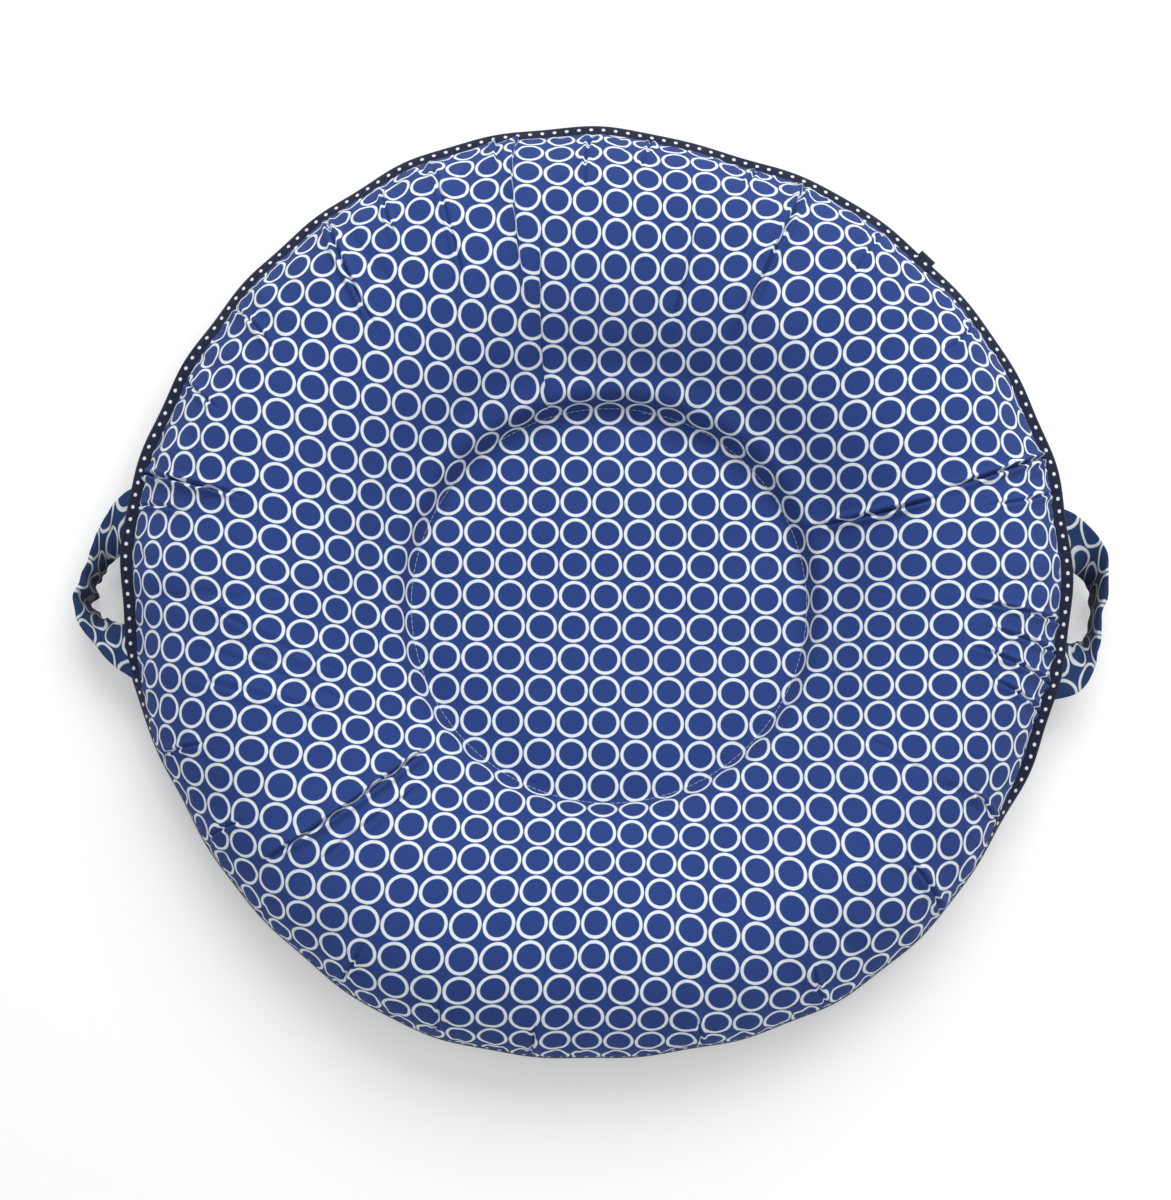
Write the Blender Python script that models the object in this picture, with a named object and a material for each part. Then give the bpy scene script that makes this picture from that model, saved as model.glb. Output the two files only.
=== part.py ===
"""Round floor cushion: a stuffed ring around a quilted-down centre, with a ribbon in its edge seam
and two strap handles.

Metres, +Z up. The origin is on the floor under the middle of the edge seam. +X runs to the right
handle and -Y to the front. The parts are turned about the seam's middle, except that each ring
leans over towards the stitched circle, which sits a little off centre.
"""

import math

import bmesh
import bpy
from mathutils import Vector

# Driving sizes
SEAM_RADIUS = 0.361
SEAM_HEIGHT = 0.048
CREST_HEIGHT = 0.100
CREST_INSET = 0.086
CIRCLE_RADIUS = 0.157
CIRCLE_SHIFT = Vector((0.011, -0.010, 0.0))
DISH_HEIGHT = 0.030
DISH_WALL_SLOPE = math.radians(60)
EDGE_WALL_SLOPE = math.radians(62)
UNDERSIDE_LIFT = 0.012
FLOOR_RING_INSET = 0.061
FLOOR_RING_START = 0.048
COVER_THICKNESS = 0.0012
HEM_WIDTH = 0.009
TRIM_WIDTH = 0.011
TRIM_THICKNESS = 0.0015
TRIM_TUCK = 0.008
LAP_ANGLE = math.radians(46)
LAP_LENGTH = 0.014
LAP_OVERHANG = 0.005
THREAD_WIDTH = 0.0008
THREAD_THICKNESS = 0.0005
WADDING_SETBACK = 0.002
STRAP_WIDTH = 0.038
STRAP_THICKNESS = 0.005
STRAP_WALL = 0.001
HANDLE_REACH = 0.034
HANDLE_SPREAD = 0.050
HANDLE_SHIFT = -0.004
FLOOR_CLEARANCE = 0.001

# Clearances
SKIN_GAP = 0.0003
SWING_GAP = 0.0015

# Facets
SEGMENTS = 48
WALL_STEPS = 6
STRAP_STEPS = 14
EDGE_POINTS = 4

# Heights that follow from the trim's place in the seam
TRIM_TOP = SEAM_HEIGHT + TRIM_THICKNESS / 2
TRIM_BOTTOM = SEAM_HEIGHT - TRIM_THICKNESS / 2
TOP_HEM = TRIM_TOP + SKIN_GAP
BASE_HEM = TRIM_BOTTOM - SKIN_GAP
TRIM_RADIUS = SEAM_RADIUS + TRIM_WIDTH
HINGE_X = TRIM_RADIUS + STRAP_THICKNESS / 2 + SWING_GAP
HINGE_Z = BASE_HEM - STRAP_THICKNESS / 2


def finish(name, colour, roughness):
    """A Principled material for one part."""
    material = bpy.data.materials.new(name)
    material.use_nodes = True
    shader = material.node_tree.nodes["Principled BSDF"]
    shader.inputs["Base Color"].default_value = (*colour, 1.0)
    shader.inputs["Roughness"].default_value = roughness
    shader.inputs["Metallic"].default_value = 0.0
    return material


def add_part(name, mesh_data, colour, roughness):
    """Turn a closed bmesh into a named object with its faces pointing out."""
    bmesh.ops.recalc_face_normals(mesh_data, faces=mesh_data.faces)
    mesh = bpy.data.meshes.new(name)
    mesh_data.to_mesh(mesh)
    mesh_data.free()
    mesh.shade_smooth()
    mesh.set_sharp_from_angle(angle=math.radians(40))
    mesh.materials.append(finish(name, colour, roughness))
    part = bpy.data.objects.new(name, mesh)
    bpy.context.scene.collection.objects.link(part)
    return part


def curve_points(start, start_pull, end_pull, end, steps):
    """Points of a cubic curve from start to end, both included."""
    points = []
    for step in range(steps + 1):
        t = step / steps
        s = 1.0 - t
        points.append(start * s ** 3 + start_pull * 3 * s * s * t + end_pull * 3 * s * t * t + end * t ** 3)
    return points


def shifted(profile, distance):
    """A profile moved sideways by a distance, to its left when that is positive, with mitred corners."""
    moved = []
    for index, point in enumerate(profile):
        before = profile[max(index - 1, 0)]
        after = profile[min(index + 1, len(profile) - 1)]
        into = point - before if index else after - point
        out_of = after - point if index < len(profile) - 1 else into
        left_in = Vector((-into.y, into.x)).normalized()
        left_out = Vector((-out_of.y, out_of.x)).normalized()
        moved.append(point + (left_in + left_out) * distance / (1.0 + left_in.dot(left_out)))
    return moved


def crossing(start, end, axis, value):
    """The point between two others where one coordinate has a given value."""
    return start.lerp(end, (value - start[axis]) / (end[axis] - start[axis]))


def ended_at_height(profile, height):
    """A profile cut off where its outer end passes a height."""
    for index in range(len(profile) - 1, 0, -1):
        low, high = sorted((profile[index - 1].y, profile[index].y))
        if low < height <= high:
            return profile[:index] + [crossing(profile[index - 1], profile[index], 1, height)]
    return profile


def between_radii(profile, inner, outer):
    """The stretch of a profile that lies between two radii."""
    kept = [point for point in profile if inner < point.x < outer]
    for index in range(len(profile) - 1):
        start, end = profile[index], profile[index + 1]
        if start.x <= inner < end.x:
            kept.insert(0, crossing(start, end, 0, inner))
        if start.x < outer <= end.x:
            kept.append(crossing(start, end, 0, outer))
    return kept


def lean(radius):
    """How far the centre of a ring of this radius is moved towards the stitched circle's centre."""
    share = (SEAM_RADIUS - radius) / (SEAM_RADIUS - CIRCLE_RADIUS)
    return CIRCLE_SHIFT * min(max(share, 0.0), 1.0)


def turned(outline, is_ring):
    """A solid turned from an outline of (radius, height) points. A ring's outline closes on itself, and
    any other starts and ends on the axis."""
    mesh_data = bmesh.new()
    loops = []
    for radius, height in outline:
        centre = lean(radius) + Vector((0.0, 0.0, height))
        count = SEGMENTS if radius > 0.0 else 1
        loop = []
        for index in range(count):
            angle = math.tau * index / SEGMENTS
            arm = Vector((math.cos(angle), math.sin(angle), 0.0)) * radius
            loop.append(mesh_data.verts.new(centre + arm))
        loops.append(loop)
    pairs = list(zip(loops, loops[1:]))
    if is_ring:
        pairs.append((loops[-1], loops[0]))
    for first, second in pairs:
        for index in range(SEGMENTS):
            ahead = (index + 1) % SEGMENTS
            corners = [first[index % len(first)], second[index % len(second)],
                       second[ahead % len(second)], first[ahead % len(first)]]
            mesh_data.faces.new(list(dict.fromkeys(corners)))
    return mesh_data


# The outer faces of the two covers, as profiles that run from the middle to the seam

CREST_RADIUS = SEAM_RADIUS - CREST_INSET
FLOOR_RING_OUTER = SEAM_RADIUS - FLOOR_RING_INSET
FLOOR_RING_INNER = CIRCLE_RADIUS + FLOOR_RING_START


def top_profile():
    """Flat centre, inner wall up to the crest, and outer wall down to the seam."""
    circle = Vector((CIRCLE_RADIUS, DISH_HEIGHT))
    crest = Vector((CREST_RADIUS, CREST_HEIGHT))
    seam = Vector((SEAM_RADIUS, TOP_HEM))
    inner_run = crest.x - circle.x
    inner_rise = crest.y - circle.y
    outer_drop = crest.y - seam.y
    leave = Vector((math.cos(DISH_WALL_SLOPE), math.sin(DISH_WALL_SLOPE))) * inner_rise * 0.55
    arrive = Vector((-math.cos(EDGE_WALL_SLOPE), math.sin(EDGE_WALL_SLOPE))) * outer_drop * 0.65
    inner = curve_points(circle, circle + leave, crest - Vector((inner_run * 0.45, 0.0)), crest, WALL_STEPS)
    outer = curve_points(crest, crest + Vector((CREST_INSET * 0.45, 0.0)), seam + arrive, seam, WALL_STEPS)
    return [Vector((0.0, DISH_HEIGHT))] + inner + outer[1:]


def base_profile():
    """Lifted centre, down to the ring that meets the floor, and up to the seam."""
    circle = Vector((CIRCLE_RADIUS, UNDERSIDE_LIFT))
    floor_inner = Vector((FLOOR_RING_INNER, 0.0))
    floor_outer = Vector((FLOOR_RING_OUTER, 0.0))
    seam = Vector((SEAM_RADIUS, BASE_HEM))
    dip = circle + Vector((FLOOR_RING_START * 0.4, -UNDERSIDE_LIFT * 0.5))
    settle = floor_inner - Vector((FLOOR_RING_START * 0.4, 0.0))
    swell = floor_outer + Vector((FLOOR_RING_INSET * 0.6, 0.0))
    rise = seam - Vector((0.002, BASE_HEM * 0.6))
    inner = curve_points(circle, dip, settle, floor_inner, WALL_STEPS // 2)
    outer = curve_points(floor_outer, swell, rise, seam, WALL_STEPS)
    return [Vector((0.0, UNDERSIDE_LIFT))] + inner + outer


TOP = top_profile()
BASE = base_profile()
TOP_LINING = shifted(TOP, -COVER_THICKNESS)
BASE_LINING = shifted(BASE, COVER_THICKNESS)
HEM_EDGE = SEAM_RADIUS - HEM_WIDTH


def covers():
    """The printed top and the base, each with its seam allowance turned in against the trim."""
    top_turn = [Vector((HEM_EDGE, TOP_HEM)), Vector((HEM_EDGE, TOP_HEM + COVER_THICKNESS))]
    top_inside = ended_at_height(TOP_LINING, TOP_HEM + COVER_THICKNESS)
    add_part("top_cover", turned(TOP + top_turn + top_inside[::-1], False), (0.055, 0.085, 0.34), 0.85)
    base_turn = [Vector((HEM_EDGE, BASE_HEM)), Vector((HEM_EDGE, BASE_HEM - COVER_THICKNESS))]
    base_inside = ended_at_height(BASE_LINING, BASE_HEM - COVER_THICKNESS)
    add_part("base_cover", turned(BASE + base_turn + base_inside[::-1], False), (0.03, 0.04, 0.12), 0.85)


def filling():
    """The stuffed ring, and the thin wadding quilted down in the centre."""
    inset = COVER_THICKNESS + SKIN_GAP
    start = CIRCLE_RADIUS + inset
    end = HEM_EDGE - WADDING_SETBACK
    upper = between_radii(shifted(TOP, -inset), start, end)
    lower = between_radii(shifted(BASE, inset), start, end)
    add_part("ring_fill", turned(upper + lower[::-1], True), (0.85, 0.85, 0.82), 0.95)
    edge = CIRCLE_RADIUS - WADDING_SETBACK
    low = UNDERSIDE_LIFT + inset
    high = DISH_HEIGHT - inset
    outline = [(0.0, high), (edge, high), (edge, low), (0.0, low)]
    add_part("centre_wadding", turned(outline, False), (0.88, 0.88, 0.85), 0.95)


def band(inner, outer, bottom, top):
    """A flat ring of rectangular section."""
    return turned([(inner, top), (outer, top), (outer, bottom), (inner, bottom)], True)


def edge_trim():
    """The ribbon in the seam, and its lapped end, which sticks out a little."""
    navy = (0.018, 0.022, 0.055)
    add_part("edge_trim", band(SEAM_RADIUS - TRIM_TUCK, TRIM_RADIUS, TRIM_BOTTOM, TRIM_TOP), navy, 0.7)
    start = SEAM_RADIUS + COVER_THICKNESS
    end = TRIM_RADIUS + LAP_OVERHANG
    along = Vector((math.cos(LAP_ANGLE), math.sin(LAP_ANGLE), 0.0))
    across = Vector((-along.y, along.x, 0.0)) * LAP_LENGTH / 2
    mesh_data = bmesh.new()
    corners = [along * start - across, along * end - across, along * end + across, along * start + across]
    lift = Vector((0.0, 0.0, TRIM_TOP + SKIN_GAP))
    face = mesh_data.faces.new([mesh_data.verts.new(corner + lift) for corner in corners])
    raised = bmesh.ops.extrude_face_region(mesh_data, geom=[face])["geom"]
    risen = [item for item in raised if isinstance(item, bmesh.types.BMVert)]
    bmesh.ops.translate(mesh_data, verts=risen, vec=(0.0, 0.0, TRIM_THICKNESS))
    add_part("trim_lap_end", mesh_data, navy, 0.7)


def threads():
    """The quilting stitch above and below, and the stitch that closes the edge seam."""
    pale = (0.75, 0.77, 0.82)
    outer = CIRCLE_RADIUS - THREAD_WIDTH
    inner = outer - THREAD_WIDTH
    above = DISH_HEIGHT + SKIN_GAP
    below = UNDERSIDE_LIFT - SKIN_GAP
    add_part("circle_stitch_top", band(inner, outer, above, above + THREAD_THICKNESS), pale, 0.6)
    add_part("circle_stitch_under", band(inner, outer, below - THREAD_THICKNESS, below), pale, 0.6)
    start = HEM_EDGE - WADDING_SETBACK + SKIN_GAP
    low = SEAM_HEIGHT - THREAD_THICKNESS / 2
    seam = band(start, start + THREAD_WIDTH, low, low + THREAD_THICKNESS)
    add_part("edge_seam_thread", seam, pale, 0.6)


def strap_stations():
    """Places along a handle, as (position, width direction, thickness direction, thickness share). The
    strap leaves the seam flat and turns a quarter, so that it stands on its edge in the middle."""
    reach = Vector((TRIM_RADIUS + HANDLE_REACH - STRAP_THICKNESS / 2, 0.0, STRAP_WIDTH / 2 + FLOOR_CLEARANCE))
    root = Vector((HINGE_X, HANDLE_SPREAD, HINGE_Z))
    run = reach.x - root.x
    root_pull = root + Vector((run * 0.6, 0.0, 0.0))
    reach_pull = reach + Vector((0.0, HANDLE_SPREAD * 0.6, 0.0))
    path = curve_points(root, root_pull, reach_pull, reach, STRAP_STEPS)
    up = Vector((0.0, 0.0, 1.0))
    half = [(root - Vector((STRAP_THICKNESS * 0.4, 0.0, 0.0)), Vector((0.0, 1.0, 0.0)), up, 0.6)]
    for index, place in enumerate(path):
        before = path[index - 1] if index else root - (root_pull - root)
        after = path[index + 1] if index < STRAP_STEPS else reach * Vector((1.0, -1.0, 1.0)) - (reach_pull - reach)
        tangent = (after - before).normalized()
        if index == STRAP_STEPS:
            tangent = Vector((0.0, -1.0, 0.0))
        level = up.cross(tangent).normalized()
        share = index / STRAP_STEPS
        twist = math.pi / 2 * share * share * (3.0 - 2.0 * share)
        width = level * math.cos(twist) + tangent.cross(level) * math.sin(twist)
        half.append((place, width, tangent.cross(width), 1.0))
    flip = Vector((1.0, -1.0, 1.0))
    mirrored = [(place * flip, width * flip, depth * flip, share) for place, width, depth, share in half[-2::-1]]
    return half + mirrored


def strap_section(width, thickness):
    """Points round a flat strap with round edges, as (across, through) pairs."""
    points = []
    for sign in (1.0, -1.0):
        for index in range(EDGE_POINTS + 1):
            angle = math.pi * index / EDGE_POINTS - math.pi / 2
            across = width / 2 - thickness / 2 + thickness / 2 * math.cos(angle)
            points.append((across * sign, thickness / 2 * math.sin(angle) * sign))
    return points


def strap_loops(mesh_data, side, stations, inset):
    """Rings of points along a strap whose skin is moved in by inset."""
    loops = []
    for place, width, depth, share in stations:
        thickness = STRAP_THICKNESS * share - 2 * inset
        loop = []
        for across, through in strap_section(STRAP_WIDTH - 2 * inset, thickness):
            point = place + width * across + depth * through
            moved = Vector((point.x * side, point.y + HANDLE_SHIFT, point.z))
            loop.append(mesh_data.verts.new(moved))
        loops.append(loop)
    return loops


def skin(mesh_data, loops):
    """Faces between each loop of points and the next."""
    for first, second in zip(loops, loops[1:]):
        count = len(first)
        for index in range(count):
            ahead = (index + 1) % count
            mesh_data.faces.new([first[index], second[index], second[ahead], first[ahead]])


def handle(name, side):
    """One handle: a fabric sleeve open at both ends, the firm strip inside it, and the two ends that are
    sewn flat under the trim."""
    stations = strap_stations()
    cloth = (0.06, 0.09, 0.32)
    sleeve = bmesh.new()
    outside = strap_loops(sleeve, side, stations, 0.0)
    inside = strap_loops(sleeve, side, stations, STRAP_WALL)
    skin(sleeve, outside)
    skin(sleeve, inside)
    skin(sleeve, [outside[0], inside[0]])
    skin(sleeve, [outside[-1], inside[-1]])
    add_part(name + "_handle_sleeve", sleeve, cloth, 0.85)
    core = bmesh.new()
    loops = strap_loops(core, side, stations[1:-1], STRAP_WALL + SKIN_GAP)
    skin(core, loops)
    core.faces.new(loops[0])
    core.faces.new(loops[-1])
    add_part(name + "_handle_core", core, (0.8, 0.8, 0.78), 0.95)
    for end_name, end_sign in (("rear", 1.0), ("front", -1.0)):
        add_part(name + "_handle_" + end_name + "_end", strap_end(side, end_sign), cloth, 0.85)


def strap_end(side, end_sign):
    """A strap end, cut round to the seam on its inner side and straight along the hinge line outside."""
    inner_radius = SEAM_RADIUS + SKIN_GAP * 2
    outer_x = HINGE_X - STRAP_THICKNESS / 2 - SWING_GAP
    steps = 4
    mesh_data = bmesh.new()
    inner_edge = []
    outer_edge = []
    for index in range(steps + 1):
        y = HANDLE_SHIFT + end_sign * HANDLE_SPREAD + STRAP_WIDTH * (index / steps - 0.5)
        inner_x = math.sqrt(inner_radius ** 2 - y ** 2)
        inner_edge.append(mesh_data.verts.new((inner_x * side, y, BASE_HEM)))
        outer_edge.append(mesh_data.verts.new((outer_x * side, y, BASE_HEM)))
    faces = []
    for index in range(steps):
        corners = [inner_edge[index], outer_edge[index], outer_edge[index + 1], inner_edge[index + 1]]
        faces.append(mesh_data.faces.new(corners))
    lowered = bmesh.ops.extrude_face_region(mesh_data, geom=faces)["geom"]
    dropped = [item for item in lowered if isinstance(item, bmesh.types.BMVert)]
    bmesh.ops.translate(mesh_data, verts=dropped, vec=(0.0, 0.0, -STRAP_THICKNESS))
    return mesh_data


for leftover in list(bpy.data.objects):
    bpy.data.objects.remove(leftover, do_unlink=True)

covers()
filling()
edge_trim()
threads()
handle("right", 1.0)
handle("left", -1.0)
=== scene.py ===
import math

import bpy
import numpy as np
from mathutils import Matrix, Vector


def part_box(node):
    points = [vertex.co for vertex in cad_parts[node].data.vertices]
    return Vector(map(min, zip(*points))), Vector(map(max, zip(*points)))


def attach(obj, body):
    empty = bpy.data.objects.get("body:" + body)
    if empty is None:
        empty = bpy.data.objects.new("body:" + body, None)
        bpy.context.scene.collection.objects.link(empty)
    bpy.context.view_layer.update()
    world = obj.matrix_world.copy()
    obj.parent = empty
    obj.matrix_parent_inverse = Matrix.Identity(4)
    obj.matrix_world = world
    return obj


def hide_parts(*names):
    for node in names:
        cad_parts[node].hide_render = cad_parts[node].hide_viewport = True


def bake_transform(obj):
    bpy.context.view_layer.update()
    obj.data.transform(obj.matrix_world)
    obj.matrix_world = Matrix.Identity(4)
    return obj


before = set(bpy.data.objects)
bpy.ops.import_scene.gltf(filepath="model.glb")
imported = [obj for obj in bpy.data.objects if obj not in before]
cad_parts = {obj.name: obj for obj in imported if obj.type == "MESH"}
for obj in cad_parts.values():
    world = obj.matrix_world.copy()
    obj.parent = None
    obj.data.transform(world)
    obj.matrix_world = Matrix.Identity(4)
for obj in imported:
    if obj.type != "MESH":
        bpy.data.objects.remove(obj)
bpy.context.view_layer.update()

# ---------------------------------------------------------------- viewing point
# The cushion lies on the floor and is seen from standing height, almost
# straight down, with the head tipped a little to one side.

aim = Vector((-0.0076, -0.0068, 0.030))
height_angle = math.radians(86.0)
eye = aim + 1.40 * Vector((0.0, -math.cos(height_angle), math.sin(height_angle)))
lens = bpy.data.cameras.new("eye")
lens.lens = 53.1
lens.sensor_width = 36.0
lens.clip_start = 0.05
lens.clip_end = 30.0
camera = bpy.data.objects.new("eye", lens)
bpy.context.collection.objects.link(camera)
look = (aim - eye).to_track_quat("-Z", "Y").to_matrix().to_4x4()
camera.matrix_world = Matrix.Translation(eye) @ look @ Matrix.Rotation(math.radians(1.0), 4, "Z")
bpy.context.scene.camera = camera

# ---------------------------------------------------------------- printed top cover
# One round of printed quilting cotton: navy ground, white rings about an
# inch apart. It is eased into the edge seam over a stuffed ring and quilted
# down to the base on one circle, so it puckers and folds towards the seam.


def add_node(tree, kind, settings, inputs):
    """A new node in a tree with these settings, fed with numbers, colours or sockets."""
    made = tree.nodes.new(kind)
    for name, value in settings.items():
        setattr(made, name, value)
    for name, value in inputs.items():
        if isinstance(value, bpy.types.NodeSocket):
            tree.links.new(value, made.inputs[name])
        else:
            made.inputs[name].default_value = value
    return made


class Wire:
    """A value that runs from one node of a finish to the next, and adds up."""

    def __init__(self, finish, socket):
        self.finish = finish
        self.socket = socket

    def maths(self, operation, *others):
        inputs = {place: value for place, value in enumerate((self, *others))}
        return self.finish.node("ShaderNodeMath", {"operation": operation}, inputs)

    def __add__(self, other):
        return self.maths("ADD", other)

    def __sub__(self, other):
        return self.maths("SUBTRACT", other)

    __radd__ = __add__

    def __rsub__(self, other):
        return self.maths("MULTIPLY", -1.0).maths("ADD", other)

    def __mul__(self, other):
        return self.maths("MULTIPLY", other)

    def __truediv__(self, other):
        return self.maths("DIVIDE", other)

    def rising(self, low, high):
        """0 below low, 1 above high, and a soft edge between."""
        return self.finish.node(
            "ShaderNodeMapRange",
            {"interpolation_type": "SMOOTHSTEP"},
            {0: self, 1: low, 2: high, 3: 0.0, 4: 1.0},
        )


class Finish:
    """The look of one cloth, ribbon or thread."""

    def __init__(self, name, roughness, sheen):
        self.material = bpy.data.materials.new(name)
        self.material.use_nodes = True
        self.tree = self.material.node_tree
        self.shader = self.tree.nodes["Principled BSDF"]
        self.shader.inputs["Roughness"].default_value = roughness
        self.shader.inputs["Sheen Weight"].default_value = sheen
        self.shader.inputs["Sheen Roughness"].default_value = 0.45
        self.shader.inputs["Specular IOR Level"].default_value = 0.08

    def node(self, kind, settings, inputs, output=0):
        """A new node with these settings, fed with numbers, colours or wires."""
        fed = {name: value.socket if isinstance(value, Wire) else value for name, value in inputs.items()}
        return Wire(self, add_node(self.tree, kind, settings, fed).outputs[output])

    def noise(self, place, scale, detail):
        return self.node(
            "ShaderNodeTexNoise", {}, {"Vector": place, "Scale": scale, "Detail": detail}
        )

    def split(self, place):
        """The three parts of a place, as wires."""
        first = self.node("ShaderNodeSeparateXYZ", {}, {0: place})
        return [Wire(self, part) for part in first.socket.node.outputs]

    def blend(self, amount, first, second):
        """A colour between two colours."""
        return self.node(
            "ShaderNodeMix",
            {"data_type": "RGBA"},
            {0: amount, 6: first, 7: second},
            2,
        )

    def feed(self, name, wire):
        self.tree.links.new(wire.socket, self.shader.inputs[name])

    def bump(self, relief, distance, strength):
        """Raise the surface by this relief."""
        values = {"Height": relief, "Distance": distance, "Strength": strength}
        self.feed("Normal", self.node("ShaderNodeBump", {}, values))


def printed_cotton(name, painted_light_level, low_shade_amount):
    """Navy cotton with white rings, one ring to each whole step of the print map.
    The first number below 1 paints the whole cloth darker as painted shade, and the second paints painted
    shade low down, darkening the cloth towards the floor."""
    cloth = Finish(name, 0.82, 0.06)
    print_map = cloth.node("ShaderNodeUVMap", {"uv_map": "print"}, {})
    body = cloth.node("ShaderNodeTexCoord", {}, {}, 3)
    across, along, _ = cloth.split(print_map)
    off_x = across - across.maths("ROUND")
    off_y = along - along.maths("ROUND")
    reach = (off_x * off_x + off_y * off_y).maths("SQRT")
    ink = reach + (cloth.noise(print_map, 9.0, 2.0) - 0.5) * 0.014
    ring = ink.rising(0.368, 0.396) * (1.0 - ink.rising(0.468, 0.492))

    # Plain weave: threads about half a millimetre apart, over and under.
    warp = (across * 300.0).maths("SINE")
    weft = (along * 300.0).maths("SINE")
    weave = warp * weft
    slub = cloth.noise(print_map, 34.0, 3.0)
    fade = cloth.noise(body, 7.0, 3.0)

    # Painted shade: every colour below is scaled darker by the first number, so a copy of this cloth looks
    # as if it lay in shadow.
    dark = (0.020 * painted_light_level, 0.044 * painted_light_level, 0.190 * painted_light_level**2, 1.0)
    light = (0.040 * painted_light_level, 0.083 * painted_light_level, 0.310 * painted_light_level**2, 1.0)
    rubbed = (0.048 * painted_light_level, 0.092 * painted_light_level, 0.330 * painted_light_level**2, 1.0)
    navy = cloth.blend(slub.rising(0.3, 0.7), dark, light)
    navy = cloth.blend(fade.rising(0.35, 0.8) * 0.25, navy, rubbed)
    chalk = (0.86 * painted_light_level, 0.94 * painted_light_level, 0.98 * painted_light_level, 1.0)
    clean = (0.93 * painted_light_level, 0.98 * painted_light_level, 1.00 * painted_light_level, 1.0)
    white = cloth.blend(slub.rising(0.3, 0.8), chalk, clean)
    # Painted shade: low down the colour is blended towards near black, standing in for the shade on the
    # inner face of a strap near the floor.
    height = cloth.split(body)[2]
    painted_low_shade = (1.0 - height.rising(0.018, 0.0412)) * low_shade_amount
    cloth.feed("Base Color", cloth.blend(painted_low_shade, cloth.blend(ring, navy, white), (0.012, 0.014, 0.022, 1.0)))
    cloth.feed("Roughness", 0.86 - ring * 0.08 + (slub - 0.5) * 0.10)
    rumple = cloth.noise(body, 60.0, 4.0)
    relief = weave * 0.00006 + slub * 0.00010 + rumple * 0.00040 + ring * 0.00002
    cloth.bump(relief, 1.0, 0.8)
    return cloth.material


cover_low, cover_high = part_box("top_cover")
stitch_low, stitch_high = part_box("circle_stitch_top")
seam_radius = (cover_high.x - cover_low.x) / 2
crest_height = cover_high.z
dish_height = stitch_low.z
circle_radius = (stitch_high.x - stitch_low.x) / 2
circle_shift = (stitch_high + stitch_low) / 2
seam_height = (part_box("edge_trim")[0].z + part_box("edge_trim")[1].z) / 2
shoulder = 0.086
crest_radius = seam_radius - shoulder
ring_pitch = (0.02526, 0.02483)


def bezier(start, start_pull, end_pull, end, steps):
    u = np.linspace(0.0, 1.0, steps)[:, None]
    points = (
        (1 - u) ** 3 * np.array(start)
        + 3 * (1 - u) ** 2 * u * np.array(start_pull)
        + 3 * (1 - u) * u**2 * np.array(end_pull)
        + u**3 * np.array(end)
    )
    return points


def by_length(points, amounts):
    """Points at these fractions of the length of a line."""
    steps = np.linalg.norm(np.diff(points, axis=0), axis=1)
    run = np.concatenate([[0.0], np.cumsum(steps)])
    run /= run[-1]
    return np.stack([np.interp(amounts, run, points[:, k]) for k in range(points.shape[1])], -1)


def crown_profile(amounts):
    """Radius and height from the quilted circle over the crest to the seam."""
    rise = crest_height - dish_height
    drop = crest_height - seam_height
    pull_up = 0.55 * rise
    pull_down = 0.65 * drop
    inner = bezier(
        (circle_radius, dish_height),
        (circle_radius + pull_up * math.cos(math.radians(60)), dish_height + pull_up * 0.866),
        (crest_radius - 0.45 * (crest_radius - circle_radius), crest_height),
        (crest_radius, crest_height),
        200,
    )
    outer = bezier(
        (crest_radius, crest_height),
        (crest_radius + 0.45 * shoulder, crest_height),
        (seam_radius - pull_down * math.cos(math.radians(62)) * 0.2, seam_height + pull_down * 0.88),
        (seam_radius, seam_height),
        200,
    )
    return by_length(np.concatenate([inner, outer[1:]]), amounts)


def swing(azimuth, centre):
    """Degrees from centre to azimuth, -180 to 180."""
    return (azimuth - centre + 180.0) % 360.0 - 180.0


def outline(azimuth):
    """How far the hand-sewn edge strays from a true circle, in metres."""
    stray = 0.0002 + 0.0021 * (np.cos(np.radians(2 * azimuth)) - 1.0)
    for centre, width, depth in (
        (-152, 14, -5),
        (-133, 9, -3),
        (-172, 9, -2.5),
        (-115, 10, 3),
        (-80, 9, -3.5),
        (-60, 14, 4),
        (-40, 7, 3),
        (-22, 13, -7),
        (17, 6, 4),
        (38, 10, 1),
        (75, 12, -4.5),
        (105, 14, 3),
        (142, 10, -3),
    ):
        stray = stray + 0.001 * depth * np.exp(-((swing(azimuth, centre) / width) ** 2))
    scallops = 0.0009 * np.sin(np.radians(azimuth * 13 + 40))
    scallops = scallops + 0.0007 * np.sin(np.radians(azimuth * 29))
    stray = stray + scallops
    return stray + 0.0018 + 0.0024 * near_side(azimuth) + 0.0030 * far_side(azimuth)


def near_side(azimuth):
    """1 round the near half of the edge, where the filling rolls over the seam."""
    return smooth((70.0 - np.abs(swing(azimuth, -97.0))) / 18.0 + 0.5)


def far_side(azimuth):
    """1 round the far part of the edge, where the trim turns down a little."""
    return smooth((62.0 - np.abs(swing(azimuth, 86.0))) / 25.0 + 0.5)


def lean(radius):
    """Shift of the off-centre circle, fading out to nothing at the seam."""
    return np.clip((seam_radius - radius) / (seam_radius - circle_radius), 0.0, 1.0)


def smooth(values):
    values = np.clip(values, 0.0, 1.0)
    return values * values * (3.0 - 2.0 * values)


def cover_points(azimuth, profile):
    """Places on the cover at azimuths in degrees and radius and height pairs."""
    radius, height = profile[..., 0], profile[..., 1]
    share = smooth((radius - circle_radius) / (seam_radius - circle_radius))
    reach = radius + outline(azimuth) * share
    turn = np.radians(azimuth)
    x = circle_shift.x * lean(radius) + reach * np.cos(turn)
    y = circle_shift.y * lean(radius) + reach * np.sin(turn)
    return np.stack([x, y, np.broadcast_to(height, x.shape)], -1)


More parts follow.
